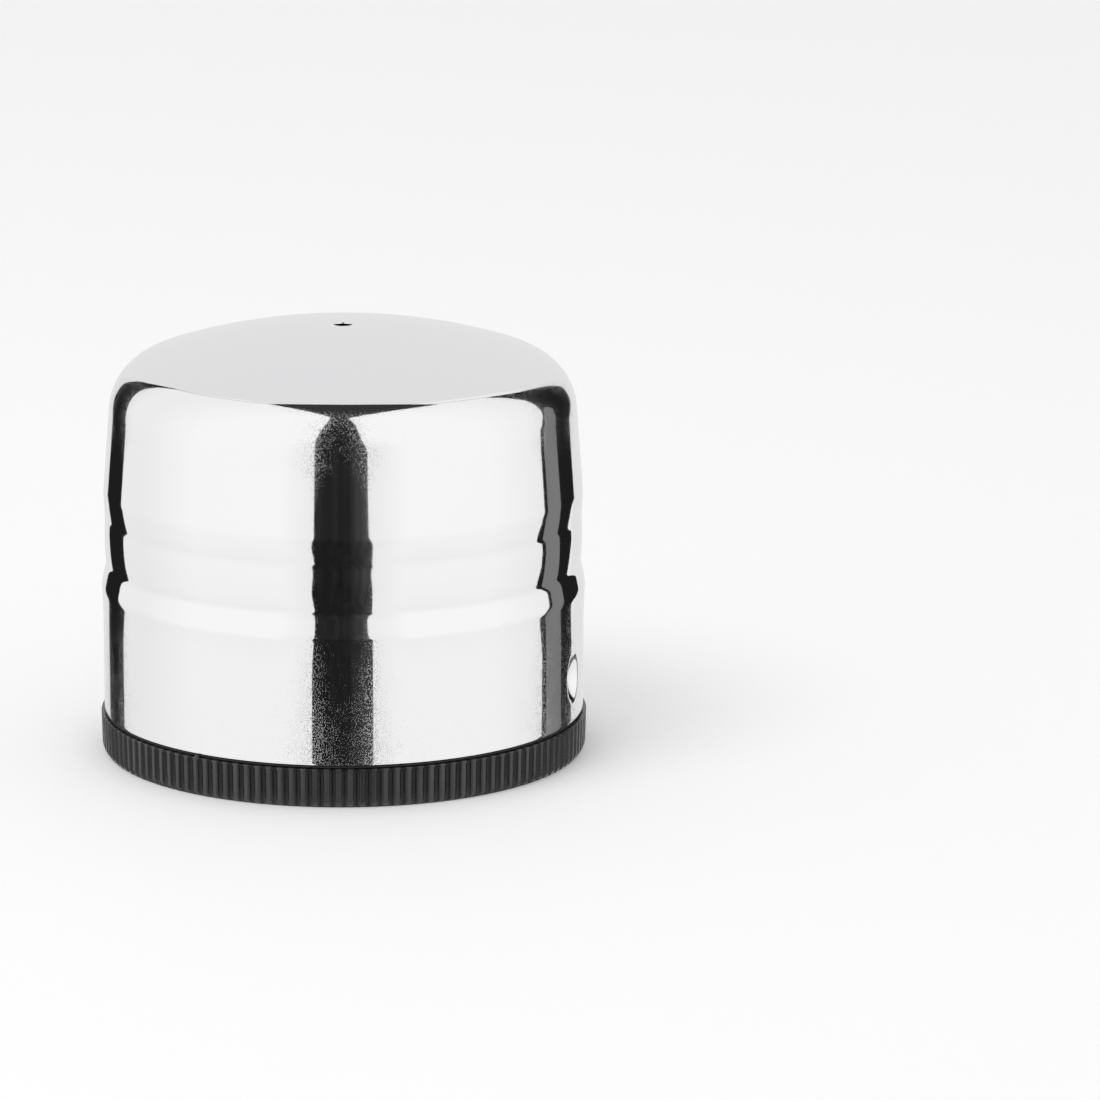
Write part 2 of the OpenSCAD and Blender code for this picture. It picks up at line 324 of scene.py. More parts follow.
inside_from = len(outside) + HOLE_LIP_ROWS
inside_to = len(outside) + len(hole_edge) + len(inside)
is_inside = np.zeros(len(profile), bool)
is_inside[inside_from:inside_to] = True
print("profile rows:", len(profile), "outside", len(outside), "inside", len(inside))

# %% [markdown]
# ## Pressing in the two dimples
#
# Two dimples near the rim run in the tracks of the collar. A round-ended punch makes them, and
# as it is narrower sideways, they are upright ovals with a rounded floor; the sheet rolls
# softly over their edge. In the grid that is a change of radius that depends only on the
# distance from the dimple's middle, with the sideways distance stretched. The columns are
# bunched around the dimples, where a coarse grid would show as facets.

# %% Dimples
DIMPLE_AZIMUTH = math.radians(71.0)
DIMPLE_UP = 6.95
DIMPLE_D = 7.4
DIMPLE_DEPTH = 1.3
DIMPLE_NARROW = 0.7  # width as a share of the height
DIMPLE_BALL = (DIMPLE_D ** 2 / 4 + DIMPLE_DEPTH ** 2) / (2 * DIMPLE_DEPTH)
DIMPLE_LIP = 0.06
DIMPLE_REACH = 0.8 * DIMPLE_D  # beyond this distance the sheet is left alone
SHELL_COLUMNS = 352
BUNCH_EXTRA, BUNCH_WIDTH = 5.0, math.radians(9)


def away_from_dimple(angles):
    """Angle to the nearer of the two dimples, which lie half a turn apart."""
    return (angles - DIMPLE_AZIMUTH + np.pi / 2) % np.pi - np.pi / 2


def bunched_angles(count, extra, width):
    """Angles spaced as 1 / (1 + extra hill(angle to a dimple / width)), by inverting its integral."""
    fine = np.linspace(0, 2 * np.pi, 7201)
    weight = 1 + extra * hill(away_from_dimple(fine) / width)
    total = np.concatenate([[0], np.cumsum((weight[1:] + weight[:-1]) / 2)])
    return np.interp(np.arange(count) * total[-1] / count, total, fine)


def rounded_positive(x, soft):
    """(x + root(x squared + soft squared)) / 2: about x above zero, about 0 below, round between."""
    return (x + np.sqrt(x * x + soft * soft)) / 2


def pressed(distance, ball):
    """Ball pushed in by DIMPLE_DEPTH: root(ball squared - distance squared) less its offset."""
    cap = np.sqrt(np.maximum(ball * ball - distance * distance, 0)) - (ball - DIMPLE_DEPTH)
    return np.where(distance > DIMPLE_REACH, 0.0, rounded_positive(cap, DIMPLE_LIP))


shell_angles = bunched_angles(SHELL_COLUMNS, BUNCH_EXTRA, BUNCH_WIDTH)
row_r, row_z = profile[:, :1], profile[:, 1:]
sideways = SKIRT_R * away_from_dimple(shell_angles)[None, :] / DIMPLE_NARROW
distance = np.hypot(sideways, row_z - RIM_Z - DIMPLE_UP)
ball = np.where(is_inside, DIMPLE_BALL + SHEET, DIMPLE_BALL)[:, None]
shell_radii = row_r - pressed(distance, ball)
shell = turned_piece("polished_shell", turned(shell_radii, row_z, shell_angles[None, :]), True)
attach(shell, "shell")
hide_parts("steel_shell")

# %% [markdown]
# ## The fluted grip
#
# The grip is a band of fine upright flutes, so that wet fingers can twist the base. A mould
# maker cuts each flute with a ball-ended cutter, which runs out just under the top edge. At
# the bottom the band curves in towards the foot, so the flutes get narrower there. One formula
# holds it all: the depth of a circular cut, less the amount that the cutter is lifted or the
# band pulled in, with the edges rounded. The columns follow the flutes, with more of them at
# the edges than on the flat lands.

# %% Fluted grip
FLUTES = 132
FLUTE_W = 1.18
FLUTE_DEPTH = 0.38
FLUTE_BALL = (FLUTE_W ** 2 / 4 + FLUTE_DEPTH ** 2) / (2 * FLUTE_DEPTH)
FLUTE_SOFT = 0.08
PITCH = 2 * math.pi * GRIP_R / FLUTES
TOP_LIP = 0.06
TOP_RUN = 0.3
TOP_EDGE = 0.14
DRAFT = 0.15
FOOT_PULL = 0.6
FOOT_RUN = 1.25
FOOT_SHARE = 0.8  # share of the foot's pull that also lifts the cutter
FOOT_EDGE = 0.1
FOOT_IN = GRIP_R - 2.1
BACK_EDGE = 0.3
LIP_LOW = GRIP_H - TOP_EDGE - TOP_LIP


def foot_pull(z):
    """How far the foot draws in: FOOT_PULL times the square of the share of FOOT_RUN."""
    down = np.clip((FOOT_RUN - z) / FOOT_RUN, 0, 1)
    return FOOT_PULL * down ** 2


def band_radius(z):
    """Full radius at the top, DRAFT less at the foot so it leaves the mould, less the pull."""
    return GRIP_R - DRAFT * (1 - z / GRIP_H) - foot_pull(z)


def cutter_lift(z):
    """Quarter circle: the cutter comes out over TOP_RUN and is clear of the band below the lip."""
    u = np.clip((z - (LIP_LOW - TOP_RUN)) / TOP_RUN, 0, 1)
    return (FLUTE_DEPTH + 2 * FLUTE_SOFT) * (1 - np.sqrt(1 - u * u))


def flute_cut(across, z):
    """Circular cut of FLUTE_DEPTH, less the lift and the pull, rounded at its edges."""
    cap = np.sqrt(np.maximum(FLUTE_BALL ** 2 - across ** 2, 0)) - (FLUTE_BALL - FLUTE_DEPTH)
    cut = cap - cutter_lift(z) - FOOT_SHARE * foot_pull(z)
    return rounded_positive(cut, FLUTE_SOFT)


# columns in half a flute and half a land, as shares of the pitch
HALF_PITCH = np.array([0.06, 0.15, 0.22, 0.26, 0.29, 0.315, 0.34, 0.365, 0.40, 0.46])
across_one = np.concatenate([-HALF_PITCH[::-1], HALF_PITCH])
turns = (np.arange(FLUTES)[:, None] + across_one[None, :]).ravel()
grip_angles = turns * 2 * np.pi / FLUTES
across = (np.tile(across_one, FLUTES) * PITCH)[None, :]
face_z = np.concatenate([
    np.linspace(FOOT_EDGE, FOOT_RUN, 7, endpoint=False),
    [FOOT_RUN, 2.6, 4.0],
    np.linspace(LIP_LOW - TOP_RUN, LIP_LOW, 8),
    [GRIP_H - TOP_EDGE],
])[:, None]
face_r = band_radius(face_z) - flute_cut(across, face_z)
EDGE_STEPS = np.radians([18, 36, 54, 72, 90])[:, None]
top_r = face_r[-1:] - TOP_EDGE * (1 - np.cos(EDGE_STEPS))
top_z = GRIP_H - TOP_EDGE * (1 - np.sin(EDGE_STEPS))
foot_r = face_r[:1] - FOOT_EDGE * (1 - np.cos(EDGE_STEPS[::-1]))
foot_z = FOOT_EDGE * (1 - np.sin(EDGE_STEPS[::-1]))
back_z = np.array([[GRIP_H], [GRIP_H - BACK_EDGE], [BACK_EDGE], [0.0]])
back_r = np.array([[FOOT_IN + BACK_EDGE], [FOOT_IN], [FOOT_IN], [FOOT_IN + BACK_EDGE]])
grip_r = np.concatenate([foot_r, face_r, top_r, back_r + 0 * across])
grip_z = np.concatenate([foot_z, face_z, top_z, back_z])
grip = turned_piece("fluted_grip", turned(grip_r, grip_z, grip_angles[None, :]), True)

# %% [markdown]
# The flutes of the grip are painted darker than the lands, and given less specular, as painted
# shade in their recesses. The depth of the cut is stored on the points, and the material reads it later.

# %% Store how far each point lies in a flute
fluted_rows = len(foot_r) + len(face_z) + len(top_r)
cut_depth = np.zeros(grip_r.shape)
cut_depth[:fluted_rows] = flute_cut(across, np.array([[GRIP_H / 2]])) / FLUTE_DEPTH
in_flute = grip.data.attributes.new("in_flute", "FLOAT", "POINT")
in_flute.data.foreach_set("value", np.clip(cut_depth, 0, 1).ravel().astype(np.float32))
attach(grip, "base")
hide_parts("fluted_base")
print("deepest cut", round(float(cut_depth.max() * FLUTE_DEPTH), 3), "mm")

# %% [markdown]
# ## The nub of the gate
#
# Plastic enters the mould through a small gate. On this grip it was at the top edge, and the
# runner was twisted off there, which leaves a round nub that stands just proud. It is a ball
# as a grid of two angles, a little flatter along the radius of the grip, turned to its place.

# %% Gate nub
NUB_AZIMUTH = math.radians(-36.4)
NUB_RADII = (0.36, 0.44, 0.44)  # along the radius of the grip, round it, upright
NUB_OUT, NUB_UP = GRIP_R - 0.24, GRIP_H - 0.06
NUB_ROWS, NUB_COLUMNS = 13, 20


def flat_ball(radii, rows, columns):
    """Points (a cos v cos u, b cos v sin u, c sin v), from the lower to the upper pole."""
    v = np.linspace(-np.pi / 2, np.pi / 2, rows)[:, None]
    u = round_angles(columns)[None, :]
    ring = np.cos(v)
    ring[[0, -1]] = 0
    x, y, z = ring * np.cos(u), ring * np.sin(u), np.sin(v) + 0 * u
    return np.stack([radii[0] * x, radii[1] * y, radii[2] * z], -1).reshape(-1, 3)


ball_faces = grid_faces(NUB_ROWS, NUB_COLUMNS, False, True)
ball_points, nub_faces = join_poles(flat_ball(NUB_RADII, NUB_ROWS, NUB_COLUMNS), ball_faces, NUB_COLUMNS)
nub_axes = np.array([
    [math.sin(NUB_AZIMUTH), -math.cos(NUB_AZIMUTH), 0.0],
    [math.cos(NUB_AZIMUTH), math.sin(NUB_AZIMUTH), 0.0],
    [0.0, 0.0, 1.0],
])
nub_points = ball_points @ nub_axes + NUB_OUT * nub_axes[0] + NUB_UP * nub_axes[2]
nub = make_piece("gate_nub", nub_points, nub_faces)
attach(nub, "base")
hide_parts("fluted_base")
print("gate_nub:", len(nub_points), "points")

# %% [markdown]
# ## Floor and spigot
#
# The floor carries the spice, and the spigot on it carries the collar. They are one moulding
# with the grip. Seen from above with the cup off, only the floor, the spigot's lip and its
# rounded corners show. A ring bead under the lead-in snaps into the collar, and a shallow round
# mark in the middle of the underside keeps moulding marks off the table.

# %% Turned part of the base
FLOOR_T = 1.6
FLOOR_LOW = GRIP_H - FLOOR_T
SPIGOT_R = 32.5
SPIGOT_IN = 30.4
SPIGOT_TOP = base_high.z / MM
SNAP_DOWN = 2.0  # the snap bead lies this far below the top
MARK_R = 2.0
MARK_DEPTH = 0.4
HUB_R = 9.0
SINK = 0.4  # pieces of the moulding reach this far into each other
FLOOR_OUT = FOOT_IN + SINK


def corner(x, z, radius, start, end, steps=5):
    """Arc of points round (x, z), both ends included, for a moulded corner."""
    t = np.radians(np.linspace(start, end, steps))
    return np.stack([x + radius * np.cos(t), z + radius * np.sin(t)], 1)


def line(*points):
    """Plain corners of a profile."""
    return np.array(points, float)


snap_z = SPIGOT_TOP - SNAP_DOWN
floor_profile = np.concatenate([
    line((0, FLOOR_LOW + MARK_DEPTH), (1.0, FLOOR_LOW + MARK_DEPTH)),
    corner(MARK_R - 0.15, FLOOR_LOW + MARK_DEPTH - 0.15, 0.15, 90, 0),
    corner(MARK_R + 0.1, FLOOR_LOW + 0.1, 0.1, 180, 270),
    line((HUB_R, FLOOR_LOW), (FLOOR_OUT, FLOOR_LOW), (FLOOR_OUT, GRIP_H), (SPIGOT_R + 0.3, GRIP_H)),
    line((SPIGOT_R, GRIP_H + 0.3), (SPIGOT_R, snap_z - 0.5)),
    corner(SPIGOT_R - 0.2, snap_z, 0.5, -60, 60, 7),
    line((SPIGOT_R, SPIGOT_TOP - 0.8)),
    corner(SPIGOT_R - 0.9, SPIGOT_TOP - 0.2, 0.2, 45, 90),
    corner(SPIGOT_IN + 0.35, SPIGOT_TOP - 0.35, 0.35, 90, 180),
    corner(SPIGOT_IN - 0.8, GRIP_H + 0.8, 0.8, 0, -90, 6),
    line((20, GRIP_H), (10, GRIP_H), (0, GRIP_H)),
])
floor_grid = turned(floor_profile[:, :1], floor_profile[:, 1:], round_angles(240)[None, :])
floor_piece = turned_piece("base_floor", floor_grid, False)
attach(floor_piece, "base")
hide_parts("fluted_base")

# %% [markdown]
# Underneath, a hub ring and twelve ribs keep the thin floor flat, and four keys round the
# spigot stop the collar from turning on it. Ribs and keys are straight blocks: one block is
# written once and turned to each angle, and a small bevel stands for the radius that a
# toolmaker leaves on every edge.

# %% Ribs, hub and keys
RIBS = 12
RIB_T = 1.2
RIB_LOW = 1.0
KEYS = 4
KEY_HALF_W = 1.5
KEY_OUT = 0.9
KEY_IN = 1.0
KEY_SINK = 0.5
KEY_DOWN = 1.5  # the keys end this far below the snap bead
SOFT_EDGE = 0.2


def block(low, high):
    """Eight corners and six faces, turned outwards, of a straight block."""
    x, y, z = np.meshgrid(*zip(low, high), indexing="ij")
    corners = np.stack([x.ravel(), y.ravel(), z.ravel()], 1)
    faces = np.array([
        [0, 1, 3, 2], [4, 6, 7, 5], [0, 4, 5, 1],
        [2, 3, 7, 6], [0, 2, 6, 4], [1, 5, 7, 3],
    ])
    return corners, faces


def spun_blocks(low, high, angles):
    """The same block turned to each angle: one rotation matrix per copy, applied as an array."""
    corners, faces = block(low, high)
    c, s = np.cos(angles), np.sin(angles)
    turn = np.stack([np.stack([c, -s], 1), np.stack([s, c], 1)], 1)
    flat = np.einsum("nab,pb->npa", turn, corners[:, :2])
    up = np.broadcast_to(corners[:, 2], (len(angles), 8))
    points = np.concatenate([flat, up[..., None]], 2).reshape(-1, 3)
    all_faces = (faces[None] + 8 * np.arange(len(angles))[:, None, None]).reshape(-1, 4)
    return points, all_faces


def bevelled_blocks(name, low, high, angles):
    """Spun blocks as one piece with a small live bevel, so that moulded edges catch the light."""
    points, faces = spun_blocks(low, high, angles)
    piece = make_piece(name, points, faces.tolist())
    bevel = piece.modifiers.new("bevel", "BEVEL")
    bevel.width = SOFT_EDGE * MM
    bevel.segments = 2
    bevel.limit_method = "ANGLE"
    bevel.harden_normals = True
    print(f"{name}: {len(angles)} blocks")
    return piece


ribs = bevelled_blocks(
    "base_ribs",
    (HUB_R - RIB_T / 2, -RIB_T / 2, RIB_LOW),
    (FLOOR_OUT, RIB_T / 2, FLOOR_LOW + SINK),
    round_angles(RIBS),
)
keys = bevelled_blocks(
    "spigot_keys",
    (SPIGOT_R - KEY_IN, -KEY_HALF_W, GRIP_H - KEY_SINK),
    (SPIGOT_R + KEY_OUT, KEY_HALF_W, snap_z - KEY_DOWN),
    round_angles(KEYS) + math.radians(45),
)
hub_profile = np.concatenate([
    corner(HUB_R - SOFT_EDGE, RIB_LOW + SOFT_EDGE, SOFT_EDGE, -90, 0, 4),
    line((HUB_R, FLOOR_LOW + SINK), (HUB_R - RIB_T, FLOOR_LOW + SINK)),
    corner(HUB_R - RIB_T + SOFT_EDGE, RIB_LOW + SOFT_EDGE, SOFT_EDGE, 180, 270, 4),
])
hub_grid = turned(hub_profile[:, :1], hub_profile[:, 1:], round_angles(96)[None, :])
hub = turned_piece("base_hub", hub_grid, True)
for part in (ribs, keys, hub):
    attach(part, "base")
    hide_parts("fluted_base")

# %% [markdown]
# ## The seal
#
# A soft flat ring lies between the steel rim and the base and keeps fine spice in. Only its
# rounded outer edge shows, as a dark line under the steel. It is turned from a profile with a
# full round on the outside, and it gets a dull, slightly dusty rubber finish later.

# %% Seal ring
SEAL_T = (seal_high.z - seal_low.z) / MM
SEAL_R = seal_high.x / MM
SEAL_IN = SEAL_R - 2.3
SEAL_EDGE = 0.1
seal_profile = np.concatenate([
    corner(SEAL_R - SEAL_T / 2, GRIP_H + SEAL_T / 2, SEAL_T / 2, -90, 90, 11),
    corner(SEAL_IN + SEAL_EDGE, GRIP_H + SEAL_T - SEAL_EDGE, SEAL_EDGE, 90, 180, 3),
    corner(SEAL_IN + SEAL_EDGE, GRIP_H + SEAL_EDGE, SEAL_EDGE, 180, 270, 3),
])
seal_grid = turned(seal_profile[:, :1], seal_profile[:, 1:], round_angles(300)[None, :])
seal = turned_piece("soft_seal", seal_grid, True)
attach(seal, "seal")
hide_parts("seal_ring")

# %% [markdown]
# ## Finishes: helpers
#
# Each finish is a Principled shader with its colour, gloss and relief worked out by nodes in
# Object coordinates, which here are metres in the frame, so a pattern has its true size and
# moves with its piece. A number that is the same all over the surface stays on the shader.
# The helpers take sockets and give back a socket, so that one line is one step of a pattern.

# %% Node helpers
RANGE_SOCKETS = ("From Min", "From Max", "To Min", "To Max")


def map_range(tree, source, low, high, to_low, to_high):
    """Straight change of range, clamped at both ends."""
    change = tree.nodes.new("ShaderNodeMapRange")
    for name, value in zip(RANGE_SOCKETS, (low, high, to_low, to_high)):
        change.inputs[name].default_value = value
    tree.links.new(source, change.inputs["Value"])
    return change.outputs["Result"]


def combine(tree, kind, a, b):
    """a kind b, where each is a socket or a plain number."""
    made = tree.nodes.new("ShaderNodeMath")
    made.operation = kind
    for socket, value in zip(made.inputs, (a, b)):
        if isinstance(value, (int, float)):
            socket.default_value = value
        else:
            tree.links.new(value, socket)
    return made.outputs["Value"]


def object_axis(tree, axis):
    """One of the Object coordinates, in metres."""
    place = tree.nodes.new("ShaderNodeTexCoord")
    split = tree.nodes.new("ShaderNodeSeparateXYZ")
    tree.links.new(place.outputs["Object"], split.inputs["Vector"])
    return split.outputs[axis]


def object_noise(tree, scale, detail):
    """Noise in Object coordinates, each multiplied by its own scale."""
    place = tree.nodes.new("ShaderNodeTexCoord")
    mapping = tree.nodes.new("ShaderNodeMapping")
    mapping.inputs["Scale"].default_value = scale
    texture = tree.nodes.new("ShaderNodeTexNoise")
    texture.inputs["Scale"].default_value = 1.0
    texture.inputs["Detail"].default_value = detail
    texture.inputs["Roughness"].default_value = 0.5
    tree.links.new(place.outputs["Object"], mapping.inputs["Vector"])
    tree.links.new(mapping.outputs["Vector"], texture.inputs["Vector"])
    return texture.outputs["Fac"]


class Finish:
    """A material under construction: its node tree and its shader."""

    MIX_FACTOR, MIX_A, MIX_B, MIX_RESULT = 0, 6, 7, 2  # colour sockets of a Mix node

    def __init__(self, name, colour, roughness, metallic=0.0):
        self.material = bpy.data.materials.new(name)
        self.material.use_nodes = True
        self.tree = self.material.node_tree
        self.tree.nodes.clear()
        self.shader = self.tree.nodes.new("ShaderNodeBsdfPrincipled")
        self.shader.inputs["Base Color"].default_value = (*colour, 1)
        self.shader.inputs["Roughness"].default_value = roughness
        self.shader.inputs["Metallic"].default_value = metallic
        output = self.tree.nodes.new("ShaderNodeOutputMaterial")
        self.tree.links.new(self.shader.outputs["BSDF"], output.inputs["Surface"])

    def feed(self, source, socket):
        """The shader takes this pattern at the named socket."""
        self.tree.links.new(source, self.shader.inputs[socket])

    def noise(self, size_mm, detail, stretch=(1, 1, 1)):
        """Noise whose features are about size_mm, longer where stretch is under 1."""
        return object_noise(self.tree, [s / (size_mm * MM) for s in stretch], detail)

    def height(self):
        """Height above the table, in metres."""
        return object_axis(self.tree, "Z")

    def remap(self, source, low, high, to_low, to_high):
        """Straight change of range, clamped at both ends."""
        return map_range(self.tree, source, low, high, to_low, to_high)

    def math(self, kind, a, b):
        """a kind b, where each is a socket or a plain number."""
        return combine(self.tree, kind, a, b)

    def mix_colour(self, factor, colour_a, colour_b):
        """Colour a where the factor is 0, colour b where it is 1."""
        mix = self.tree.nodes.new("ShaderNodeMix")
        mix.data_type = "RGBA"
        mix.inputs[self.MIX_A].default_value = (*colour_a, 1)
        mix.inputs[self.MIX_B].default_value = (*colour_b, 1)
        self.tree.links.new(factor, mix.inputs[self.MIX_FACTOR])
        self.feed(mix.outputs[self.MIX_RESULT], "Base Color")

    def relief(self, pattern, depth_mm, below=None):
        """Bump of depth_mm, laid over the relief below it."""
        bump = self.tree.nodes.new("ShaderNodeBump")
        bump.inputs["Distance"].default_value = depth_mm * MM
        bump.inputs["Strength"].default_value = 1.0
        self.tree.links.new(pattern, bump.inputs["Height"])
        if below:
            self.tree.links.new(below, bump.inputs["Normal"])
        self.feed(bump.outputs["Normal"], "Normal")
        return bump.outputs["Normal"]


def dress(piece, finish):
    """The finish takes the place of every material on the piece."""
    piece.data.materials.clear()
    piece.data.materials.append(finish.material)


# %% [markdown]
# ## Polished steel
#
# Drawn steel stretches as it is pressed, and its crystals stand out as a fine grain, the
# orange peel that polishing never quite removes. It is strongest near the rim and round the
# shoulder, where the sheet moved most, and nearly gone on the waist. What is left are separate
# pits, a fifth of a millimetre across and a few micrometres deep. Each turns the mirror a
# little, so a dark reflection gets bright flecks near its edges, and each is duller than the
# polish round it. So the pits are the peaks of a noise, cut off by a threshold: lower where
# the sheet moved most, which crowds them. A much longer and weaker wave bends the reflections
# a little, as in any sheet metal, and broad faint smears change the gloss where it is handled.

# %% Steel finish
STEEL = (0.92, 0.92, 0.924)
GRAIN_SIZE = 0.21
GRAIN_DEPTH = 0.0046
GRAIN_DULL = 0.2
WAVE_SIZE = 9.0
WAVE_DEPTH = 0.012
SMEAR_SIZE = 14.0

steel = Finish("polished_steel", STEEL, 0.03, metallic=1.0)
up = steel.height()
below_ridge = steel.remap(up, 0.0270, 0.0250, 0.1, 1.0)
to_rim = steel.remap(up, 0.0245, 0.0066, 0.38, 1.0)
near_rim = steel.math("MULTIPLY", below_ridge, to_rim)
over_taper = steel.remap(up, 0.0475, 0.0520, 0.1, 0.6)
under_crown = steel.remap(up, 0.0594, 0.0601, 1.0, 0.1)
near_shoulder = steel.math("MULTIPLY", over_taper, under_crown)
stretched = steel.math("MAXIMUM", near_rim, near_shoulder)
uneven = steel.remap(steel.noise(2.4, detail=2.0), 0.35, 0.65, 0.55, 1.0)
amount = steel.math("MULTIPLY", stretched, uneven)
crowd = steel.remap(stretched, 0.1, 1.0, 0.0, 0.06)
grain = steel.math("ADD", steel.noise(GRAIN_SIZE, detail=1.0), crowd)
pits = steel.remap(grain, 0.605, 0.665, 0.0, 1.0)
worn_pits = steel.math("MULTIPLY", pits, amount)
long_wave = steel.relief(steel.noise(WAVE_SIZE, detail=1.0), WAVE_DEPTH)
steel.relief(worn_pits, GRAIN_DEPTH, below=long_wave)
gloss = steel.remap(steel.noise(SMEAR_SIZE, detail=3.0), 0.3, 0.7, 0.02, 0.05)
steel.feed(steel.math("ADD", gloss, steel.math("MULTIPLY", worn_pits, GRAIN_DULL)), "Roughness")
dress(shell, steel)
print("steel nodes:", len(steel.tree.nodes))

# %% [markdown]
# ## Moulded plastic and rubber
#
# The base is black polypropylene: a charcoal body, a satin skin and a fine even texture from
# the mould. On the grip the flutes are painted dark as painted shade, the lands are lighter, each
# a little differently, partly from wear and partly as painted sheen, and the edge that stands on
# the table is painted lighter as painted light thrown up from the floor. The collar is the same
# plastic with a smoother skin. The seal is rubber, with almost no gloss and a trace of pale dust.

# %% Plastic and rubber finishes
PLASTIC_DARK = (0.016, 0.016, 0.0165)
PLASTIC_LIGHT = (0.026, 0.026, 0.027)
# The flute colour is painted shade; the land colour is partly wear and partly painted sheen.
FLUTE_SHADE = (0.006, 0.006, 0.006)
LAND_WEAR_AND_SHEEN = (0.05, 0.05, 0.051)
COLLAR_DARK = (0.019, 0.019, 0.02)
COLLAR_LIGHT = (0.03, 0.03, 0.031)
RUBBER = (0.016, 0.016, 0.016)
RUBBER_DUST = (0.03, 0.03, 0.03)


def plastic(name, roughness, texture_mm, depth_mm):
    """Satin plastic with cloudy gloss and a fine mould texture, and its clouds."""
    made = Finish(name, PLASTIC_DARK, roughness)
    clouds = made.noise(3.5, detail=4.0)
    made.feed(made.remap(clouds, 0.3, 0.7, roughness - 0.06, roughness + 0.08), "Roughness")
    made.relief(made.noise(texture_mm, detail=3.0), depth_mm)
    return made, clouds


grip_finish, _ = plastic("grip_plastic", 0.28, 0.16, 0.004)
flute_reader = grip_finish.tree.nodes.new("ShaderNodeAttribute")
flute_reader.attribute_name = "in_flute"
in_flute_here = flute_reader.outputs["Fac"]
# Painted shade: the flutes get a dark colour from how deep each point lies in a cut.
outside_flute_shade = grip_finish.remap(in_flute_here, 0.05, 0.75, 1.0, 0.0)
# Painted light: the grip is painted lighter towards the edge that stands on the table, as light thrown up
# from the floor.
foot_painted_light = grip_finish.remap(grip_finish.height(), 0.0024, 0.0003, 0.0, 0.6)
each_land = grip_finish.noise(1.9, detail=1.0, stretch=(1, 1, 0.12))
wear = grip_finish.remap(each_land, 0.3, 0.7, 0.35, 1.0)
wear_and_painted_light = grip_finish.math("MULTIPLY", grip_finish.math("MAXIMUM", outside_flute_shade, foot_painted_light), wear)
# Dark in the flutes is painted shade; light on the lands is wear and painted sheen, varied per land.
grip_finish.mix_colour(wear_and_painted_light, FLUTE_SHADE, LAND_WEAR_AND_SHEEN)
# The flutes also get less specular, which stands in for their shade.
grip_finish.feed(grip_finish.remap(in_flute_here, 0.1, 0.9, 0.55, 0.3), "Specular IOR Level")
for part in (grip, nub):
    dress(part, grip_finish)

base_finish, base_clouds = plastic("base_plastic", 0.42, 0.2, 0.004)
base_finish.mix_colour(base_clouds, PLASTIC_DARK, PLASTIC_LIGHT)
for part in (floor_piece, ribs, keys, hub):
    dress(part, base_finish)

collar_finish, collar_clouds = plastic("collar_plastic", 0.34, 0.3, 0.003)
collar_finish.mix_colour(collar_clouds, COLLAR_DARK, COLLAR_LIGHT)
dress(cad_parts["bayonet_collar"], collar_finish)

rubber = Finish("soft_rubber", RUBBER, 0.6)
dust = rubber.remap(rubber.noise(0.9, detail=5.0), 0.55, 0.8, 0.0, 1.0)
rubber.mix_colour(dust, RUBBER, RUBBER_DUST)
rubber.relief(rubber.noise(0.12, detail=2.0), 0.006)
dress(seal, rubber)
finishes = (steel, grip_finish, base_finish, collar_finish, rubber)
print("finishes:", [finish.material.name for finish in finishes])

# %% [markdown]
# ## The studio
#
# Polished steel shows the room more than itself. So the shaker stands inside a white tent of
# three panels that almost meet overhead, and the dark gaps between them draw the black bands
# that give the steel its shape. The camera looks in through the front gap. Here an even white
# world stands for the lit cloth, dark flags on a large dome stand for the gaps, and a slightly
# greyer panel hangs behind. They are seen only in reflections. The floor is pale, and it is
# hidden from reflections, so that the steel shows the tent down to the table.

# %% World and floor
LIGHT_ONLY = 0.8
FLOOR_R = 2400.0
FLOOR_GREY = (0.86, 0.86, 0.86, 1)
FLOOR_LIFT = 0.12


def make_world():
    """White for the camera; for a mirror the cloth falls off at the gaps; lower where it only lights."""
    world = bpy.data.worlds.new("tent")
    world.use_nodes = True
    tree = world.node_tree
    background = tree.nodes["Background"]
    background.inputs["Color"].default_value = (1, 1, 1, 1)
    direction = tree.nodes.new("ShaderNodeTexCoord")
    split = tree.nodes.new("ShaderNodeSeparateXYZ")
    tree.links.new(direction.outputs["Generated"], split.inputs["Vector"])

    def fall(axis, start, end, share):
        """1 up to start, then straight down to 1 - share at end, along one axis of the direction."""
        return map_range(tree, split.outputs[axis], start, end, 1.0, 1.0 - share)

    towards_front = fall("Y", -0.86, -0.97, 0.10)
    towards_back = fall("Y", -0.25, 0.35, 0.09)
    towards_table = combine(tree, "MULTIPLY", fall("Z", -0.08, -0.24, 0.045), fall("Z", -0.28, -0.42, 0.05))
    level = combine(tree, "MULTIPLY", combine(tree, "MULTIPLY", towards_front, towards_back), towards_table)
    path = tree.nodes.new("ShaderNodeLightPath")
    mirrored = combine(tree, "MULTIPLY", level, path.outputs["Is Glossy Ray"])
    not_mirrored = combine(tree, "SUBTRACT", 1.0, path.outputs["Is Glossy Ray"])
    seen_or_lit = combine(tree, "MAXIMUM", path.outputs["Is Camera Ray"], LIGHT_ONLY)
    plain = combine(tree, "MULTIPLY", not_mirrored, seen_or_lit)
    tree.links.new(combine(tree, "ADD", mirrored, plain), background.inputs["Strength"])
    bpy.context.scene.world = world


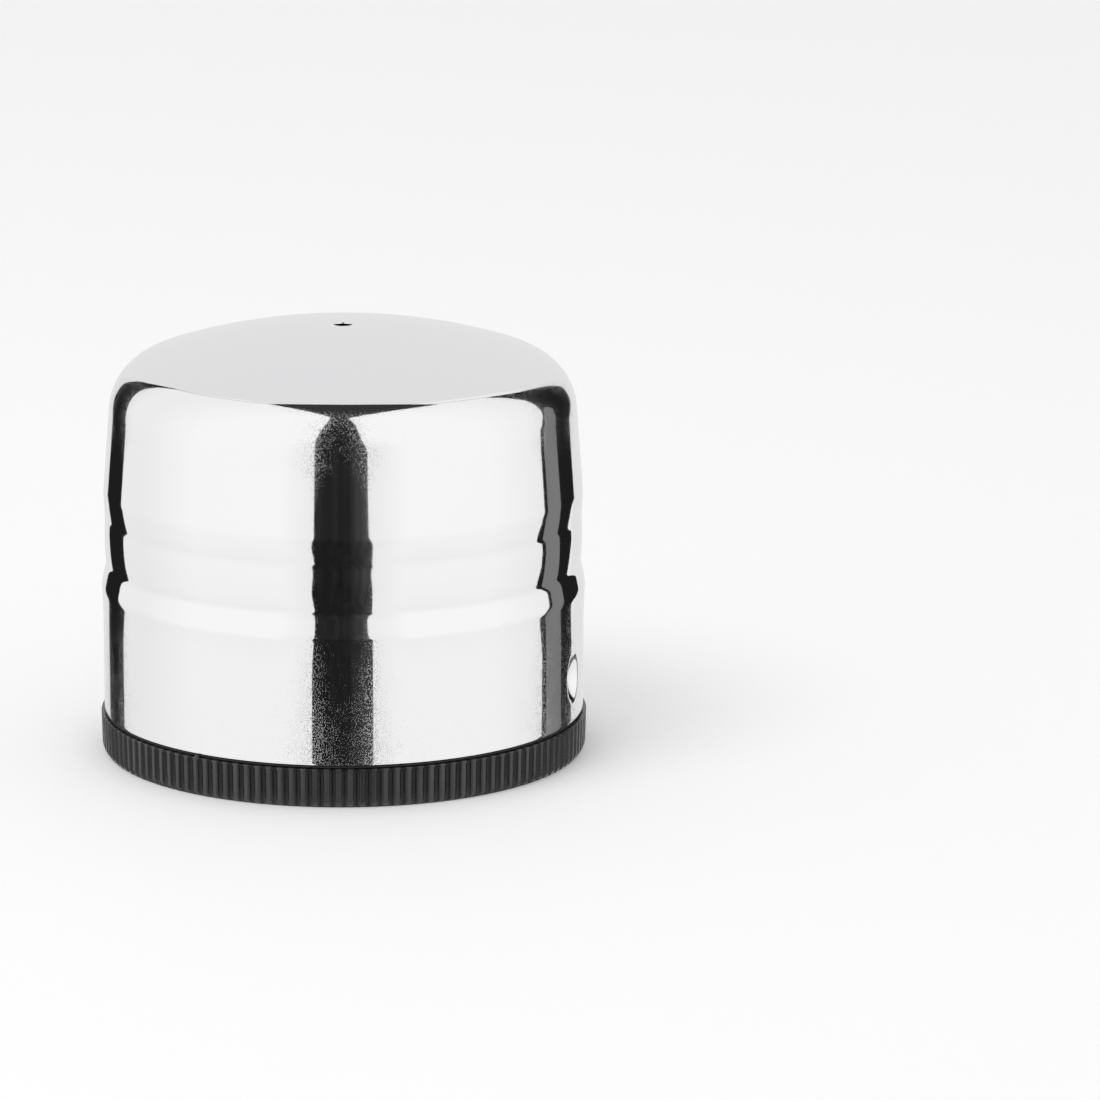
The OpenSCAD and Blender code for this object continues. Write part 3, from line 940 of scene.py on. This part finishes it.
def make_floor():
    """Large pale disc; its cloth is brightened for the camera only, so that shadows stay."""
    t = round_angles(96)
    edge = np.stack([FLOOR_R * np.cos(t), FLOOR_R * np.sin(t), 0 * t], 1)
    disc = make_piece("studio_floor", edge, [list(range(len(t)))])
    material = bpy.data.materials.new("pale_floor")
    material.use_nodes = True
    tree = material.node_tree
    shader = tree.nodes["Principled BSDF"]
    shader.inputs["Base Color"].default_value = FLOOR_GREY
    shader.inputs["Roughness"].default_value = 0.8
    shader.inputs["Specular IOR Level"].default_value = 0.2
    shader.inputs["Emission Color"].default_value = (1, 1, 1, 1)
    path = tree.nodes.new("ShaderNodeLightPath")
    lift = combine(tree, "MULTIPLY", path.outputs["Is Camera Ray"], FLOOR_LIFT)
    tree.links.new(lift, shader.inputs["Emission Strength"])
    disc.data.materials.append(material)
    disc.visible_glossy = False


make_world()
make_floor()
print("floor radius", FLOOR_R * MM, "m")

# %% [markdown]
# A gap is a strip of the dome between two edges. Each edge is a short list of directions seen
# from the shaker: elevation, then azimuth, which is 0 towards the camera and positive towards
# +X. Points between are interpolated, and a direction becomes a point on the dome by the usual
# rule for a sphere. The side gaps end in a tip, where their two panels meet. A thin paler strip
# over each tip is the seam that goes on from there. The front gap shows the dim room behind the
# camera, in upright streaks.

# %% Gaps, card, seams and back panel
DOME_R = 8.0
DOME_CENTRE = np.array([0.0, 0.0, 0.035])
SEAM_W = 0.7  # degrees
FRONT_LEFT = [(-60, -14.2), (-23, -14.2), (-17, -15.0), (-14.5, -15.2), (-5, -13.8), (10, -13.6),
              (24, -13.9), (40, -12.8), (56, -12.0), (65, -11.8), (76, -15)]
FRONT_RIGHT = [(-60, 14), (-20, 13.7), (-14, 13.6), (-5, 11.6), (10, 11.0), (24, 9.2),
               (56, 7.8), (65, 5.8), (76, 7)]
LEFT_FAR = [(-60, -150), (-20, -151), (-14.5, -152.5), (-12, -155), (-4, -155.5), (6, -154.4),
            (14.4, -151.0), (17, -150.6), (21, -149.5), (25, -147.4), (32, -145.3),
            (36.5, -143.8), (39, -142.9), (42.5, -140.3)]
LEFT_NEAR = [(-60, -128), (-24, -128.3), (-17, -129.8), (-14.5, -131.2), (-9.5, -132.6),
             (2, -133.0), (10, -135), (21, -139.0), (27, -141), (32, -142.3), (39, -141.9),
             (42.5, -140.3)]
RIGHT_NEAR = [(-60, 107), (-16, 108.5), (-14.5, 110.2), (-9, 111), (-4, 112.2), (3, 114.2),
              (10, 117.2), (22, 119.4), (30, 121), (37, 121.5), (44, 123.6), (50, 126)]
RIGHT_FAR = [(-60, 140), (-14.5, 140.5), (-10, 146), (-3, 152), (7, 150.5), (13.5, 147),
             (24, 141.5), (32, 136.4), (38.4, 131.9), (44, 129.1), (50, 126)]
CARD_NEAR = [(-60, 113), (-14.5, 113.4), (-9, 114), (8, 117.5), (13, 121)]
CARD_FAR = [(-60, 127.5), (-14.5, 127.7), (-9, 127), (8, 127), (13, 124)]
SEAM_LEFT = [(38, -143.2), (48.5, -135.8), (60, -129.5), (71.2, -124.9), (76, -122)]
SEAM_RIGHT = [(49, 126.4), (60, 120), (72, 113), (76, 111)]
BACK_NEAR = [(-60, 145), (0, 145), (25, 136), (38, 137), (60, 130), (78, 118)]
BACK_FAR = [(-60, 216), (0, 216), (25, 213), (38, 219), (60, 225), (78, 235)]


def on_dome(azimuth, elevation, radius):
    """Direction to point: centre + R (cos e sin a, -cos e cos a, sin e), with angles in degrees."""
    a, e = np.radians(azimuth), np.radians(elevation)
    ray = np.stack([np.cos(e) * np.sin(a), -np.cos(e) * np.cos(a), np.sin(e)], -1)
    return DOME_CENTRE + radius * ray


def glow_material(name, strength, colour=(1, 1, 1)):
    """A surface that only glows."""
    material = bpy.data.materials.new(name)
    material.use_nodes = True
    tree = material.node_tree
    tree.nodes.clear()
    glow = tree.nodes.new("ShaderNodeEmission")
    glow.inputs["Color"].default_value = (*colour, 1)
    glow.inputs["Strength"].default_value = strength
    output = tree.nodes.new("ShaderNodeOutputMaterial")
    tree.links.new(glow.outputs["Emission"], output.inputs["Surface"])
    return material


def room_material(name, left, right):
    """Dim glow that grows from left to right, in upright streaks, and a little with the height."""
    material = glow_material(name, left)
    tree = material.node_tree
    side = map_range(tree, object_axis(tree, "X"), 0.37, 1.54, left, right)
    streaks = map_range(tree, object_noise(tree, (2.9, 2.9, 0.11), 2.0), 0.3, 0.7, 0.7, 1.35)
    above = map_range(tree, object_axis(tree, "Z"), -1.7, -0.9, 0.95, 1.35)
    level = combine(tree, "MULTIPLY", combine(tree, "MULTIPLY", side, streaks), above)
    tree.links.new(level, tree.nodes["Emission"].inputs["Strength"])
    return material


def hide_stage(piece, material):
    """Stage pieces show in reflections only."""
    piece.data.materials.append(material)
    piece.visible_camera = False
    piece.visible_diffuse = False
    piece.visible_shadow = False


def dome_strip(name, edge_a, edge_b, material, radius=DOME_R, rows=70, columns=12):
    """Grid between two edges of (elevation, azimuth) with the same first and last elevation."""
    edge_a, edge_b = np.array(edge_a, float), np.array(edge_b, float)
    e = np.linspace(edge_a[0, 0], edge_a[-1, 0], rows)
    start = np.interp(e, edge_a[:, 0], edge_a[:, 1])
    end = np.interp(e, edge_b[:, 0], edge_b[:, 1])
    azimuth = start[:, None] + (end - start)[:, None] * np.linspace(0, 1, columns)
    points = on_dome(azimuth, e[:, None] + 0 * azimuth, radius).reshape(-1, 3)
    faces = grid_faces(rows, columns, False, False).tolist()
    hide_stage(make_piece(name, points / MM, faces), material)


def seam(name, middle, material):
    """Strip of even width along a line: half the width / cos(elevation) to each side of it."""
    middle = np.array(middle, float)
    half = SEAM_W / 2 / np.cos(np.radians(middle[:, :1])) * np.array([[0, 1]])
    dome_strip(name, middle - half, middle + half, material, radius=DOME_R - 0.05, columns=3)


dark = glow_material("dark_gap", 0.013)
dome_strip("front_gap", FRONT_LEFT, FRONT_RIGHT, room_material("dark_room", 0.014, 0.05))
dome_strip("left_gap", LEFT_FAR, LEFT_NEAR, dark)
dome_strip("right_gap", RIGHT_NEAR, RIGHT_FAR, dark)
dome_strip("right_card", CARD_NEAR, CARD_FAR, glow_material("grey_card", 0.2), radius=DOME_R - 0.1)
back_cloth = glow_material("back_cloth", 0.8, (0.99, 0.99, 1.0))
dome_strip("back_panel", BACK_NEAR, BACK_FAR, back_cloth, radius=DOME_R + 0.1, columns=40)
stitched = glow_material("stitched_seam", 0.45)
seam("left_seam", SEAM_LEFT, stitched)
seam("right_seam", SEAM_RIGHT, stitched)
front_width = FRONT_RIGHT[0][1] - FRONT_LEFT[0][1]
print("front gap is", round(front_width, 1), "degrees wide at its foot")

# %% [markdown]
# The gap overhead is a triangle, because three panels meet there. Its corners are given as
# offsets from straight up, in degrees, towards +X and towards the camera.

# %% Gap overhead
CORNERS_UP = np.array([[-17.6, -11.9], [24.0, -9.6], [-1.3, 25.1]])


def overhead_gap():
    """Each corner: tilt is the length of its offset, azimuth its direction."""
    tilt = np.hypot(CORNERS_UP[:, 0], CORNERS_UP[:, 1])
    azimuth = np.degrees(np.arctan2(CORNERS_UP[:, 0], CORNERS_UP[:, 1]))
    points = on_dome(azimuth, 90 - tilt, DOME_R + 0.05)
    hide_stage(make_piece("overhead_gap", points / MM, [[0, 1, 2]]), glow_material("dark_ceiling", 0.036))
    print("overhead corners lean", np.round(tilt, 1), "degrees from straight up")


overhead_gap()

# %% [markdown]
# One soft lamp from the upper left gives the plastic its shading and the foot its shadow. The
# steel must show the tent alone, so the lamp is left out of reflections.

# %% Lamp
LAMP_AT = Vector((-0.5, -0.5, 1.1))
LAMP_AIM = Vector((0, 0, 0.03))
LAMP_D = 0.7
LAMP_POWER = 4.0


def make_lamp():
    """A large soft disc that points at the shaker."""
    data = bpy.data.lights.new("soft_lamp", "AREA")
    data.shape = "DISK"
    data.size = LAMP_D
    data.energy = LAMP_POWER
    lamp = bpy.data.objects.new("soft_lamp", data)
    lamp.location = LAMP_AT
    lamp.rotation_euler = (LAMP_AIM - LAMP_AT).to_track_quat("-Z", "Y").to_euler()
    lamp.visible_glossy = False
    bpy.context.scene.collection.objects.link(lamp)


make_lamp()
print("lamp at", tuple(round(c, 2) for c in LAMP_AT), "m")
